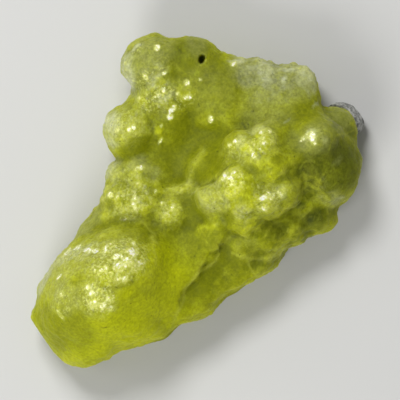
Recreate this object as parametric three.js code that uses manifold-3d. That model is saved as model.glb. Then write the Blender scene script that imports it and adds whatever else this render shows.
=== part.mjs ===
// A hand specimen of botryoidal brucite: rounded lobes grown together in one crust, with a broken pale slab
// at one corner, stepped breaks along its lower side and a small pit near the head. Its back is cut flat and
// it rests on that cut. A nodule of grey matrix, part of the rock it grew on, shows past its right end.
// Millimetres. +X runs along the long side to the right end, +Y to the head, +Z out of the flat back.
import * as THREE from 'three';
import { mergeVertices } from 'three/addons/utils/BufferGeometryUtils.js';
import Module from 'manifold-3d';

// ---------------------------------------------------------------- driving dimensions

const CELL = 1.35; // edge of the cells that the surface is built from
const PROBE = 0.01; // step for the slope of a field
const FILL = 0.05; // depth, in cells, that a closed-up cell is given
const TINY = 1e-6; // keeps a division from zero
const MERGE = 1e-4; // vertices nearer than this are one
const SPAN = { low: [-38, -28, -3], high: [38, 28, 30] }; // the space that holds the specimen

const MASS_BLEND = 4; // how softly the main masses run together
const LOBE_BLEND = 1.3; // width of the grooves between lobes

// The long broken lower side, as its line in X and Y at the level of the back.
const BREAK_LINE = [
  [-38, -13],
  [-34, -18.4],
  [-31.5, -21.2],
  [-25, -21.2],
  [-17, -23.6],
  [-12.5, -23.5],
  [-7, -24.6],
  [-3, -23.3],
  [2, -23.9],
  [8, -23.5],
  [11, -21.8],
  [14, -22.6],
  [38, -22.6],
];
const BREAK_LEAN = 0.06; // millimetres it steps back for each millimetre of height
const BREAK_BLEND = 1.2; // rounding of its upper edge

const JOIN_TILT = 37; // degrees that the contact with the matrix leans under the crust
const JOIN_REACH = 22.5; // distance of the contact from the origin, along its normal
const JOIN_GAP = 0.3; // clearance at the contact

const PIT = { at: [16.3, 14.8, 16.4], radii: [0.8, 0.6, 3.2], turn: 35 };

// Each mass is an ellipsoid: centre, radii and its turn about Z in degrees.
const MASSES = {
  leftDome: { at: [-19.8, -9.9, 9], radii: [14, 10.1, 16.8], turn: 6 },
  domeFlank: { at: [-20, -13.4, 6.5], radii: [13.2, 9.8, 13.5], turn: -2 },
  domeCorner: { at: [-26.9, -15.3, 5.5], radii: [6.5, 7.8, 9], turn: 0 },
  lowerHem: { at: [-13, -16.6, 3.5], radii: [18, 9.4, 8], turn: -3 },
  saddle: { at: [-6.5, -14.4, 5], radii: [15, 11.4, 10.5], turn: -2 },
  waist: { at: [-8.5, -3.4, 4.6], radii: [13, 6.8, 9.6], turn: 22 },
  lowerMiddle: { at: [4, -14.5, 5], radii: [13, 10, 11.5], turn: 0 },
  clusterCore: { at: [12.5, -7, 7], radii: [11.5, 8.5, 14], turn: 0 },
  rightCore: { at: [22.6, -9, 6.5], radii: [7.6, 8.6, 12.5], turn: 0 },
  hollowFloor: { at: [4, 3, 4], radii: [12, 10, 9.6], turn: 30 },
  neck: { at: [9, 12.5, 5], radii: [8.2, 8, 11.5], turn: 0 },
  shoulder: { at: [15.5, 7, 5], radii: [6.2, 9, 11.5], turn: 20 },
  slope: { at: [23, 0, 5], radii: [7.2, 6.5, 11], turn: -30 },
};

// The broken slab: centre, half sizes, turn about Z, tip about its long side, and edge rounding.
const SLAB = { at: [22.2, 3, 6], half: [8.2, 5.3, 8], turn: -38.7, tip: 8, round: 2.2 };

// Hollows sunk between the masses, with how softly each one runs out.
const HOLLOWS = {
  bowl: { at: [5.5, 4.4, 19], radii: [7.4, 5, 7.8], turn: 25, blend: 2.5 },
  nook: { at: [0.5, -6.8, 18], radii: [2.4, 3.8, 5.8], turn: 0, blend: 1.2 },
};

// A step broken out of the lower side.
const STEP = { at: [-3, -22.4, 17], half: [10.5, 5, 6], turn: 29, tip: -12, round: 1, blend: 0.6 };

// The botryoidal lobes that stand on the masses.
const LOBES = {
  // head and upper side
  head: { at: [8.4, 19, 11], radii: [5.4, 5.2, 6.6], turn: 0 },
  headLeft: { at: [6.3, 20.3, 12], radii: [2.8, 2.9, 4.6], turn: 0 },
  headRight: { at: [11.4, 20.6, 11.4], radii: [2.6, 2.7, 4.6], turn: 0 },
  pitLobe: { at: [15, 15.9, 11.5], radii: [4.3, 4.4, 5.4], turn: 0 },
  belowPit: { at: [17.5, 12, 9.5], radii: [3.3, 3.3, 4.9], turn: 0 },
  cheek: { at: [-1.8, 11.4, 10.5], radii: [4.8, 4.9, 5.8], turn: 0 },
  besideCheek: { at: [1.8, 14.2, 9], radii: [2, 2.2, 3.6], turn: 0 },
  sideTop: { at: [-7.2, 5.2, 9], radii: [3, 3, 5], turn: 0 },
  sideUpper: { at: [-9.3, 2, 10.6], radii: [3.3, 3.3, 4.8], turn: 0 },
  sideMiddle: { at: [-13.3, 0, 8.6], radii: [3.6, 3.2, 5.6], turn: 0 },
  sideLower: { at: [-16.8, -0.7, 8], radii: [3.2, 3.1, 5.6], turn: 0 },
  leftKnob: { at: [-33.2, -9, 7.5], radii: [1.6, 1.9, 3.4], turn: 0 },
  // waist
  waistPeak: { at: [-7.2, -1.2, 12.6], radii: [3.4, 3.2, 4.2], turn: 0 },
  waistLow: { at: [-3.5, -4.8, 12.6], radii: [3.3, 3.1, 4.2], turn: 0 },
  waistInner: { at: [-4.9, 1.2, 12], radii: [2.9, 2.6, 3.4], turn: 0 },
  waistTop: { at: [-3.8, 4.6, 11.5], radii: [2.9, 2.1, 3], turn: -25 },
  waistOuter: { at: [-11.4, -1.6, 12], radii: [2.4, 2.2, 3.2], turn: 0 },
  bowlRim: { at: [-1.4, 2.2, 10.5], radii: [2.3, 2.1, 2.7], turn: 0 },
  nookRim: { at: [-0.4, -2.2, 12], radii: [3.2, 1.6, 2.6], turn: -8 },
  // below the head
  neckLeft: { at: [3.4, 13.2, 13], radii: [2.2, 2.4, 2.8], turn: 0 },
  neckMiddle: { at: [6.8, 13.4, 13.6], radii: [2.4, 2, 2.6], turn: 0 },
  neckBar: { at: [6.8, 9.9, 12.6], radii: [2.3, 1.7, 2.6], turn: 20 },
  neckRight: { at: [10.4, 11.4, 13], radii: [2.6, 2.3, 3], turn: 0 },
  neckLow: { at: [3, 9, 11.4], radii: [2.1, 2, 2.7], turn: 0 },
  shoulderLow: { at: [12.4, 5.4, 12.9], radii: [2.2, 1.8, 2.6], turn: 0 },
  shoulderTop: { at: [13.6, 9.2, 12.4], radii: [3, 2.6, 3], turn: 0 },
  bowlEgg: { at: [6.8, -1.6, 11.6], radii: [4.4, 3.3, 4.6], turn: 8 },
  // the raised cluster
  clusterA: { at: [13.4, -1.4, 17.6], radii: [2.7, 2.5, 3.2], turn: 0 },
  clusterB: { at: [15, -4.4, 18.6], radii: [2.3, 2.9, 3.8], turn: 0 },
  clusterC: { at: [17.6, -3.6, 18], radii: [2.3, 2.7, 3.4], turn: 0 },
  clusterD: { at: [20.2, -3.6, 16.2], radii: [2, 2.3, 3], turn: 0 },
  clusterE: { at: [9.4, -6.9, 18.4], radii: [3.9, 3.2, 4.6], turn: 0 },
  clusterF: { at: [4.6, -7.4, 15.6], radii: [3.1, 3.2, 4.4], turn: 0 },
  clusterG: { at: [9.4, -10.7, 18], radii: [3.8, 2.6, 4], turn: 0 },
  clusterH: { at: [7.2, -13.2, 15.8], radii: [2.8, 2.5, 3.4], turn: 0 },
  clusterI: { at: [15.8, -8, 19.2], radii: [3.7, 3, 4], turn: 0 },
  clusterJ: { at: [12.2, -13, 17.2], radii: [3, 2.8, 4.2], turn: 0 },
  clusterK: { at: [16, -12.8, 16.8], radii: [3, 3, 4.2], turn: 0 },
  clusterL: { at: [19.6, -8.6, 16.4], radii: [2.6, 3.2, 3.6], turn: 0 },
  clusterM: { at: [1.6, -12.2, 13.6], radii: [3, 2.4, 3], turn: 0 },
  // right end
  rightTop: { at: [25.4, -8.4, 13.6], radii: [5.2, 4.6, 6.6], turn: 0 },
  rightLow: { at: [24.4, -13.4, 9], radii: [6.9, 7.1, 8.8], turn: 0 },
  rightEdge: { at: [31, -8.2, 8.4], radii: [2.5, 3.2, 4.2], turn: 0 },
  // lower right
  lowerEnd: { at: [18.3, -19.6, 7.4], radii: [4.1, 3.9, 5.6], turn: 0 },
  lowerB: { at: [13.4, -18.7, 8], radii: [3.4, 3.5, 6.4], turn: 0 },
  lowerC: { at: [8.2, -17.6, 9.4], radii: [4.6, 3.9, 6], turn: -10 },
  lowerD: { at: [4, -16.6, 10.6], radii: [3.2, 3.3, 4.6], turn: 0 },
  lowerSmallA: { at: [17, -16.4, 12], radii: [2.2, 2, 2.8], turn: 0 },
  lowerSmallB: { at: [20.4, -15.8, 11.4], radii: [2, 2.3, 2.8], turn: 0 },
  lowerFoot: { at: [6.3, -20.6, 5.4], radii: [4, 2.8, 5], turn: 0 },
};

// The matrix nodule, and the roughness of its grains.
const NODULE = { at: [30.8, -8, 3.4], radii: [4.2, 3.7, 4.6], turn: -12 };
const GRAIN = { depth: 0.22, pitch: [2.1, 1.9, 2.3], lean: 1.3 };

// Slow waves that bend the lobes out of true: sideways reach, radians a millimetre along each axis, phase.
const BENDS = {
  x: [
    { reach: 0.22, along: [0, 0.46, 0.31], phase: 1.1 },
    { reach: 0.14, along: [-0.67, 0.93, 0], phase: 2.3 },
  ],
  y: [
    { reach: 0.22, along: [0.41, 0, 0.37], phase: 2.9 },
    { reach: 0.14, along: [0.83, 0.71, 0], phase: 0.7 },
  ],
};

const BRUCITE = { color: 0x9aa31e, roughness: 0.35 };
const MATRIX = { color: 0x7c7c76, roughness: 0.8 };

// ---------------------------------------------------------------- distance fields

const radians = THREE.MathUtils.degToRad;

function turned(x, y, degrees) {
  const angle = radians(degrees);
  const c = Math.cos(angle);
  const s = Math.sin(angle);
  return [c * x + s * y, c * y - s * x];
}

// Distance to an ellipsoid, close to exact near its surface.
function ellipsoid(x, y, z, { at, radii, turn }) {
  const [u, v] = turned(x - at[0], y - at[1], turn);
  const w = z - at[2];
  const scaled = Math.hypot(u / radii[0], v / radii[1], w / radii[2]);
  const slope = Math.hypot(u / radii[0] ** 2, v / radii[1] ** 2, w / radii[2] ** 2);
  return (scaled * (scaled - 1)) / Math.max(slope, TINY);
}

function roundedBox(x, y, z, { at, half, turn, tip, round }) {
  const [u, across] = turned(x - at[0], y - at[1], turn);
  const [v, w] = turned(across, z - at[2], -tip);
  const q = [u, v, w].map((value, axis) => Math.abs(value) - half[axis] + round);
  const outside = Math.hypot(...q.map((value) => Math.max(value, 0)));
  return outside + Math.min(Math.max(...q), 0) - round;
}

// Joins two fields with a fillet of the given width.
function join(a, b, width) {
  const overlap = Math.max(width - Math.abs(a - b), 0) / width;
  return Math.min(a, b) - (overlap * overlap * width) / 4;
}

const carve = (body, tool, width) => -join(-body, tool, width);

// Bends the space a little, so that no lobe stays a perfect ellipsoid.
function bent(x, y, z) {
  const shift = (waves) => {
    let sum = 0;
    for (const { reach, along, phase } of waves) {
      sum += reach * Math.sin(along[0] * x + along[1] * y + along[2] * z + phase);
    }
    return sum;
  };
  return [x + shift(BENDS.x), y + shift(BENDS.y), z];
}

// The broken side's Y at a given X.
function brokenSide(x) {
  const next = BREAK_LINE.findIndex(([end]) => end > x);
  if (next < 1) return BREAK_LINE.at(next)[1];
  const [[x0, y0], [x1, y1]] = [BREAK_LINE[next - 1], BREAK_LINE[next]];
  return y0 + ((y1 - y0) * (x - x0)) / (x1 - x0);
}

// Positive on the matrix side of the contact.
function pastContact(x, z) {
  const tilt = radians(JOIN_TILT);
  return x * Math.cos(tilt) - z * Math.sin(tilt) - JOIN_REACH;
}

function crustField(x0, y0, z0) {
  const [x, y, z] = bent(x0, y0, z0);
  let d = roundedBox(x, y, z, SLAB);
  for (const mass of Object.values(MASSES)) {
    d = join(d, ellipsoid(x, y, z, mass), MASS_BLEND);
  }
  d = carve(d, y - brokenSide(x) - BREAK_LEAN * z, BREAK_BLEND);
  for (const hollow of Object.values(HOLLOWS)) {
    d = carve(d, ellipsoid(x, y, z, hollow), hollow.blend);
  }
  d = carve(d, roundedBox(x, y, z, STEP), STEP.blend);
  for (const lobe of Object.values(LOBES)) {
    d = join(d, ellipsoid(x, y, z, lobe), LOBE_BLEND);
  }
  return Math.max(d, pastContact(x0, z0));
}

function matrixField(x, y, z) {
  const [px, py, pz] = GRAIN.pitch;
  const grains = Math.sin(px * x + GRAIN.lean * z) * Math.sin(py * y + GRAIN.lean * x) * Math.sin(pz * z);
  return Math.max(ellipsoid(x, y, z, NODULE) + GRAIN.depth * grains, JOIN_GAP - pastContact(x, z));
}

// ---------------------------------------------------------------- surface from a field

const CORNERS = [0, 1, 2, 3, 4, 5, 6, 7].map((bits) => [bits & 1, (bits >> 1) & 1, (bits >> 2) & 1]);
const EDGES = [];
for (let a = 0; a < CORNERS.length; a += 1) {
  for (const bit of [1, 2, 4]) {
    if (!(a & bit)) EDGES.push([a, a | bit]);
  }
}

// True where the chosen corners of a cell hang together along its edges.
function connected(chosen) {
  const start = chosen.indexOf(true);
  if (start < 0) return true;
  const reached = new Set([start]);
  for (const corner of reached) {
    for (const bit of [1, 2, 4]) {
      if (chosen[corner ^ bit]) reached.add(corner ^ bit);
    }
  }
  return reached.size === chosen.filter(Boolean).length;
}

// Moves a point along the field's slope to its zero surface, by a quarter of a cell at most.
function settled(field, point) {
  const value = field(...point);
  const slope = [0, 1, 2].map((axis) => {
    const beside = point.map((coordinate, other) => coordinate + (other === axis ? PROBE : 0));
    return (field(...beside) - value) / PROBE;
  });
  const steepness = Math.max(Math.hypot(...slope), TINY);
  const reach = CELL / 4;
  const move = THREE.MathUtils.clamp(-value / steepness, -reach, reach);
  return point.map((coordinate, axis) => coordinate + (move * slope[axis]) / steepness);
}

// A closed mesh of the zero surface: one vertex in each cell that it crosses, one quad for each grid edge.
function surface(field, low, high) {
  const size = low.map((value, axis) => Math.ceil((high[axis] - value) / CELL) + 1);
  const index = (i, j, k) => i + size[0] * (j + size[1] * k);
  const place = (i, axis) => low[axis] + i * CELL;
  const values = new Float64Array(size[0] * size[1] * size[2]);
  for (let k = 0; k < size[2]; k += 1) {
    for (let j = 0; j < size[1]; j += 1) {
      for (let i = 0; i < size[0]; i += 1) {
        values[index(i, j, k)] = field(place(i, 0), place(j, 1), place(k, 2));
      }
    }
  }
  const eachCell = (visit) => {
    for (let k = 0; k < size[2] - 1; k += 1) {
      for (let j = 0; j < size[1] - 1; j += 1) {
        for (let i = 0; i < size[0] - 1; i += 1) {
          visit(i, j, k, CORNERS.map(([a, b, c]) => index(i + a, j + b, k + c)));
        }
      }
    }
  };

  // Two sheets that would meet in one cell are closed up, which keeps the mesh a clean solid.
  let filled = true;
  while (filled) {
    filled = false;
    eachCell((i, j, k, corners) => {
      const inside = corners.map((corner) => values[corner] < 0);
      if (connected(inside) && connected(inside.map((value) => !value))) return;
      for (const corner of corners) values[corner] = Math.min(values[corner], -FILL * CELL);
      filled = true;
    });
  }

  const positions = [];
  const vertexOf = new Map();
  eachCell((i, j, k, corners) => {
    const sum = [0, 0, 0];
    let crossings = 0;
    for (const [a, b] of EDGES) {
      const va = values[corners[a]];
      const vb = values[corners[b]];
      if (va < 0 === vb < 0) continue;
      const t = va / (va - vb);
      for (let axis = 0; axis < 3; axis += 1) {
        sum[axis] += CORNERS[a][axis] + t * (CORNERS[b][axis] - CORNERS[a][axis]);
      }
      crossings += 1;
    }
    if (!crossings) return;
    vertexOf.set(index(i, j, k), positions.length / 3);
    const middle = [i, j, k].map((cell, axis) => place(cell + sum[axis] / crossings, axis));
    positions.push(...settled(field, middle));
  });

  const triangles = [];
  const point = (vertex) => positions.slice(3 * vertex, 3 * vertex + 3);
  const apart = (a, b) => Math.hypot(...point(a).map((value, axis) => value - point(b)[axis]));
  const steps = [1, size[0], size[0] * size[1]];
  for (let axis = 0; axis < 3; axis += 1) {
    const stepU = steps[(axis + 1) % 3];
    const stepV = steps[(axis + 2) % 3];
    for (let corner = 0; corner + steps[axis] < values.length; corner += 1) {
      const leaving = values[corner] < 0;
      if (leaving === values[corner + steps[axis]] < 0) continue;
      const cells = [corner - stepU - stepV, corner - stepV, corner, corner - stepU];
      const ring = (leaving ? cells : cells.reverse()).map((cell) => vertexOf.get(cell));
      const [a, b, c, d] = ring;
      if (apart(a, c) < apart(b, d)) triangles.push(a, b, c, a, c, d);
      else triangles.push(b, c, d, b, d, a);
    }
  }
  const geometry = new THREE.BufferGeometry();
  geometry.setAttribute('position', new THREE.Float32BufferAttribute(positions, 3));
  geometry.setIndex(triangles);
  return geometry;
}

// ---------------------------------------------------------------- cuts

const wasm = await Module();
wasm.setup();

function solid(geometry) {
  const bare = geometry.clone();
  bare.deleteAttribute('normal');
  bare.deleteAttribute('uv');
  const merged = mergeVertices(bare, MERGE);
  const vertProperties = new Float32Array(merged.attributes.position.array);
  const triVerts = new Uint32Array(merged.index.array);
  return new wasm.Manifold(new wasm.Mesh({ numProp: 3, vertProperties, triVerts }));
}

function geometryOf(body) {
  const { vertProperties, triVerts } = body.getMesh();
  const geometry = new THREE.BufferGeometry();
  geometry.setAttribute('position', new THREE.BufferAttribute(vertProperties, 3));
  geometry.setIndex(new THREE.BufferAttribute(triVerts, 1));
  geometry.computeVertexNormals();
  return geometry;
}

// Everything behind the back, which is the plane z = 0.
function behindTheBack() {
  const [width, depth] = [0, 1].map((axis) => SPAN.high[axis] - SPAN.low[axis]);
  const thick = 3 * -SPAN.low[2];
  return solid(new THREE.BoxGeometry(2 * width, 2 * depth, thick).translate(0, 0, -thick / 2));
}

function pit() {
  const hole = new THREE.SphereGeometry(1, 12, 10).rotateX(Math.PI / 2);
  hole.scale(...PIT.radii).rotateZ(radians(PIT.turn)).translate(...PIT.at);
  return solid(hole);
}

// ---------------------------------------------------------------- the specimen

// A closed surface needs a lower end below the cut, half a cell inside the sampled space.
const closedBelow = (field) => (x, y, z) => Math.max(field(x, y, z), SPAN.low[2] + CELL / 2 - z);

const back = behindTheBack();
const crust = solid(surface(closedBelow(crustField), SPAN.low, SPAN.high)).subtract(back).subtract(pit());
const nodule = solid(surface(closedBelow(matrixField), SPAN.low, SPAN.high)).subtract(back);

const material = ({ color, roughness }) => new THREE.MeshStandardMaterial({ color, roughness });
const bruciteMaterial = material(BRUCITE);
const matrixMaterial = material(MATRIX);

const crustMesh = new THREE.Mesh(geometryOf(crust), bruciteMaterial);
crustMesh.name = 'brucite_crust';
const matrixMesh = new THREE.Mesh(geometryOf(nodule), matrixMaterial);
matrixMesh.name = 'matrix_remnant';

const specimen = new THREE.Group();
specimen.name = 'brucite_specimen';
specimen.add(crustMesh, matrixMesh);

export default specimen;
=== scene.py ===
"""A hand specimen of botryoidal brucite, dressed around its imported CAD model.

The crust is a distance field of masses and lobes, made into a fine closed mesh with relief laid on it.
Forms are in millimetres in the CAD frame and become metres in the meshes.
"""

import math

import bpy
import numpy as np
from mathutils import Matrix, Vector


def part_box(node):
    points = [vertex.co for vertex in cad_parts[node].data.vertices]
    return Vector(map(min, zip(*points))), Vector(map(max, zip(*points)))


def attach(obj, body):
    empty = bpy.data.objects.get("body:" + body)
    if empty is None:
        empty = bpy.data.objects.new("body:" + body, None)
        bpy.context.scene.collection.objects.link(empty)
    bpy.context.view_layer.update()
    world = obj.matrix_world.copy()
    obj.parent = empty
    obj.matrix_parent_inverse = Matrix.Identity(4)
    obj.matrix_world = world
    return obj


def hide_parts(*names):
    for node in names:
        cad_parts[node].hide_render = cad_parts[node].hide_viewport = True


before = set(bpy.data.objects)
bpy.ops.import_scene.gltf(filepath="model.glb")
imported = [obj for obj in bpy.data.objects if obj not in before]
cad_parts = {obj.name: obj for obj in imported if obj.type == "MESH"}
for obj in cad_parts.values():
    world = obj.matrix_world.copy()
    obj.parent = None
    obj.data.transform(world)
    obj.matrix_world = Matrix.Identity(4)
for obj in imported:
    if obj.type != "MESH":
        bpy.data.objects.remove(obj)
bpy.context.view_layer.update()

MM = 0.001

# ------------ sizes, in millimetres

FINE_CELL = 0.33  # cells of the crust's mesh
NODULE_CELL = 0.16  # cells of the matrix nodule's mesh
MARGIN_CELLS = 3  # cells beyond a box at its sides and top
MARGIN_BELOW = 1.5  # cells below the flat back
SPLIT_FILL = 0.05  # how far, in cells, corners are sunk where the surface would touch itself
LEAST = 1e-12  # keeps divisions from failing

MASS_BLEND = 4  # how widely the broad masses melt together
LOBE_BLEND = 1.1  # how widely a lobe melts into what it sits on
SOFT_BLEND = 3.2  # the same for the soft joining
SOFT_SHARE = 0.45  # how much of the soft joining shows
BREAK_LEAN = 0.06  # how far the broken side steps back for each millimetre of height
BREAK_BLEND = 1  # rounding of its upper edge
BREAK_LINE = [
    (-38, -13), (-34, -18.4), (-31.5, -21.2), (-25, -21.2), (-17, -23.6), (-12.5, -23.5), (-7, -24.6),
    (-3, -23.3), (2, -23.9), (8, -23.5), (11, -21.8), (14, -22.6), (38, -22.6),
]
JOIN_TILT = 37  # degrees that the contact with the matrix leans
JOIN_REACH = 22.5  # from the origin to the contact
JOIN_GAP = 0.3  # clearance at the contact

# x, y, z, radii, and the turn about Z in degrees where there is one
MASSES = [
    # left dome, its flank and corner, the hem below it, the saddle, the waist
    (-19.8, -9.9, 9, 14, 10.1, 16.8, 6), (-20, -13.4, 6.5, 13.2, 9.8, 13.5, -2),
    (-26.9, -15.3, 5.5, 6.5, 7.8, 9), (-13, -16.6, 3.5, 18, 9.4, 8, -3),
    (-6.5, -14.4, 5, 15, 11.4, 10.5, -2), (-8.5, -3.4, 4.6, 13, 6.8, 9.6, 22),
    # lower middle, cluster core, right core, floor of the hollow
    (4, -14.5, 5, 13, 10, 11.5), (12.5, -7, 7, 11.5, 8.5, 14), (22.6, -9, 6.5, 7.6, 8.6, 12.5),
    (4, 3, 4, 12, 10, 9.6, 30),
    # neck, shoulder, slope
    (9, 12.5, 5, 8.2, 8, 11.5), (15.5, 7, 5, 6.2, 9, 11.5, 20), (23, 0, 5, 7.2, 6.5, 11, -30),
]
# centre, half sizes, turn, tip, rounding
SLAB = ((22.2, 3, 6), (8.2, 5.3, 8), -38.7, 8, 2.2)
STEP = ((-3, -22.4, 18.9), (10.5, 5, 6), 29, -12, 1)
STEP_BLEND = 1.2
STEP_WAVES = [(0.6, 0.95, 0.4), (0.2, 2.3, 1.9)]  # reach, pitch and phase of its ragged edge
# x, y, z, radii, turn, blend
HOLLOWS = {
    "bowl": (5.4, 4.0, 19, 7.2, 4.8, 6.7, 25, 3.5),
    "nook": (0.7, -6.4, 18, 2.6, 4.0, 3.2, 0, 2.4),
}
PIT = (16.3, 14.8, 16.4, 0.8, 0.6, 3.2, 35)
PIT_BLEND = 0.25
# as for the masses
LOBES = [
    # head and pit
    (8.5, 18.9, 11, 5.3, 5.1, 6.6), (6.6, 20.2, 12, 2.8, 2.9, 4.6), (11.1, 20.1, 11.4, 2.5, 2.6, 4.6),
    (15, 15.9, 11.5, 4.3, 4.4, 5.4), (17.5, 12, 9.5, 3.3, 3.3, 4.9),
    # cheek and left side
    (-1.7, 11.3, 10.5, 4.6, 4.7, 5.8), (1.8, 14.2, 9, 2, 2.2, 3.6), (-7, 5, 9, 2.8, 2.8, 5),
    (-9.3, 2, 10.6, 3.3, 3.3, 4.8), (-13.3, -0.3, 8.6, 3.6, 3.1, 5.6), (-16.6, -1.6, 8, 3.2, 3, 5.6),
    (-33.2, -9, 7.5, 1.6, 1.9, 3.4),
    # waist, rims of the bowl and the nook
    (-7.2, -1.2, 12.6, 3.4, 3.2, 4.2), (-3.5, -4.8, 12.2, 3.5, 3.3, 4.2), (-4.9, 1.2, 12, 2.9, 2.6, 3.4),
    (-3.8, 4.6, 11.5, 2.9, 2.1, 3, -25), (-11.4, -1.6, 12, 2.4, 2.2, 3.2), (-1.4, 2.2, 10.5, 2.3, 2.1, 2.7),
    (-0.4, -2.2, 12, 3.2, 1.6, 2.6, -8),
    # neck and shoulder
    (3.4, 13.2, 13, 2.2, 2.4, 2.8), (6.8, 13.4, 13.6, 2.4, 2, 2.6), (6.8, 9.6, 12.2, 2.5, 2, 2.6, 20),
    (6, 7.6, 10.6, 4, 2.2, 2.6, 10), (10.4, 11.4, 13, 2.6, 2.3, 3), (3, 9, 11.4, 2.1, 2, 2.7),
    (12.4, 5.4, 12.9, 2.2, 1.8, 2.6), (13.6, 9.2, 12.4, 3, 2.6, 3),
    # egg in the bowl, fillings of the nook, the head's seat, the cheek's foot and the step
    (6.8, -1.9, 10.9, 4.6, 3.3, 4.6, 8), (0.7, -6.4, 11.6, 2.6, 4.2, 3.9), (12.4, 18, 11.4, 2.2, 2.6, 4.4),
    (-0.6, 7.8, 8.6, 4, 2.6, 4, -10), (-1.9, -14.9, 10.6, 2.6, 2.1, 4.4), (0.4, -15.4, 9.4, 2.4, 1.9, 3.8),
    # clusters
    (13.4, -1.4, 17.6, 2.7, 2.5, 3.2), (15, -4.4, 18.6, 2.3, 2.9, 3.8), (17.6, -3.6, 18, 2.3, 2.7, 3.4),
    (20.2, -3.6, 16.2, 2, 2.3, 3), (9.4, -6.9, 18.4, 3.9, 3.2, 4.6), (4.6, -7.4, 15.6, 3.1, 3.2, 4.4),
    (9.4, -10.7, 18, 3.8, 2.6, 4), (7.2, -13.2, 15.8, 2.8, 2.5, 3.4), (15.8, -8, 19.2, 3.7, 3, 4),
    (12.2, -13, 17.2, 3, 2.8, 4.2), (16, -12.8, 16.8, 3, 3, 4.2), (19.6, -8.6, 16.4, 2.6, 3.2, 3.6),
    (1.6, -12.2, 13.6, 3, 2.4, 3),
    # right end
    (25.4, -8.4, 13.6, 5.2, 4.6, 6.6), (24, -13.5, 9, 6.6, 7.2, 8.8), (31, -8.2, 8.4, 2.5, 3.2, 4.2),
    # lower end
    (18.1, -19.5, 7.4, 3.9, 3.8, 5.6), (13.4, -18.7, 8, 3.4, 3.5, 6.4), (8.2, -17.6, 9.4, 4.6, 3.9, 6, -10),
    (4, -16.6, 10.6, 3.2, 3.3, 4.6), (17, -16.4, 12, 2.2, 2, 2.8), (20.4, -15.8, 11.4, 2, 2.3, 2.8),
    (6.1, -20.1, 5.4, 3.7, 2.4, 5), (12, -16.4, 11.4, 3.2, 2.2, 3.4),
    # fillings of the clusters, the waist and the right end
    (12.4, -9.6, 16.6, 2.6, 2.2, 3.6), (-4.4, -1.8, 12.2, 2.8, 2.2, 3.2),
    (-9.4, -3.2, 10.2, 4.2, 1.9, 3.8, -40), (-4.8, -6.4, 10.6, 4.6, 3.2, 4.6, 15),
    (28.2, -11.6, 8.8, 3.2, 2.8, 6),
    # bump and corner of the slab
    (23.9, 8.6, 5.6, 2.6, 1.5, 5.6, -38), (29, 1.4, 5.2, 1.7, 1.5, 5.2, -38),
]
NODULE = (30.8, -8, 3.4, 4.2, 3.7, 4.6, -12)
NODULE_KNOB = (33.0, -9.6, 2.6, 2.2, 1.9, 3.2, 20)

# the slow waves that bend the lobes out of true: reach, along, phase
BENDS_X = [(0.22, (0, 0.46, 0.31), 1.1), (0.14, (-0.67, 0.93, 0), 2.3)]
BENDS_Y = [(0.22, (0.41, 0, 0.37), 2.9), (0.14, (0.83, 0.71, 0), 0.7)]

# ------------ camera and light

LEAN = 33  # degrees that the long side leans in the picture
PICTURE_WIDTH = 72  # what the picture spans at the height of the widest outline
LOOK_AT = (2.36, -6.08, 8.0)  # the picture's middle at that height
CAMERA_HEIGHT = 900  # above what it looks at
SENSOR = 36
CLIP_NEAR, CLIP_FAR = 0.01, 20  # metres

LIGHT_DISTANCE = 0.6  # metres
# direction in the picture (right, up, towards the eye), size in metres, power
LIGHTS = {
    "key": ((-0.3, 0.65, 1.1), 0.2, 2.3),
    "side": ((-0.9, 0.1, 0.55), 0.3, 0.35),
    "fill": ((-0.4, -0.8, 0.8), 0.3, 1.8),
}
ROOM_LIGHT = 0.25
WHITE = (1, 1, 1, 1)

FLOOR_HALF = 3  # metres
FLOOR_DROP = 0.02  # millimetres below the flat back
FLOOR_COLOUR = (0.6, 0.6, 0.585, 1)
FLOOR_ROUGHNESS = 0.9


def camera():
    data = bpy.data.cameras.new("camera")
    data.sensor_width = SENSOR
    data.lens = SENSOR * CAMERA_HEIGHT / PICTURE_WIDTH
    data.clip_start = CLIP_NEAR
    data.clip_end = CLIP_FAR
    cam = bpy.data.objects.new("camera", data)
    x, y, z = LOOK_AT
    place = Matrix.Translation(Vector((x, y, z + CAMERA_HEIGHT)) * MM)
    cam.matrix_world = place @ Matrix.Rotation(math.radians(-LEAN), 4, "Z")
    bpy.context.scene.collection.objects.link(cam)
    bpy.context.scene.camera = cam


def lights():
    turn = Matrix.Rotation(math.radians(-LEAN), 3, "Z")
    for name, (direction, size, power) in LIGHTS.items():
        data = bpy.data.lights.new(name, "AREA")
        data.shape = "DISK"
        data.size = size
        data.energy = power
        lamp = bpy.data.objects.new(name, data)
        towards = turn @ Vector(direction).normalized()
        lamp.location = Vector(LOOK_AT) * MM + towards * LIGHT_DISTANCE
        lamp.rotation_euler = towards.to_track_quat("Z", "Y").to_euler()
        bpy.context.scene.collection.objects.link(lamp)
    world = bpy.data.worlds.new("studio")
    bpy.context.scene.world = world
    world.use_nodes = True
    back = world.node_tree.nodes["Background"]
    back.inputs["Color"].default_value = WHITE
    back.inputs["Strength"].default_value = ROOM_LIGHT


def floor():
    mesh = bpy.data.meshes.new("floor")
    half = FLOOR_HALF
    corners = [(-half, -half, 0), (half, -half, 0), (half, half, 0), (-half, half, 0)]
    mesh.from_pydata(corners, [], [(0, 1, 2, 3)])
    plane = bpy.data.objects.new("floor", mesh)
    plane.location.z = -FLOOR_DROP * MM
    bpy.context.scene.collection.objects.link(plane)
    mat = bpy.data.materials.new("floor")
    mat.use_nodes = True
    bsdf = mat.node_tree.nodes["Principled BSDF"]
    bsdf.inputs["Base Color"].default_value = FLOOR_COLOUR
    bsdf.inputs["Roughness"].default_value = FLOOR_ROUGHNESS
    mesh.materials.append(mat)


# ------------ distance fields, on arrays of points

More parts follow.
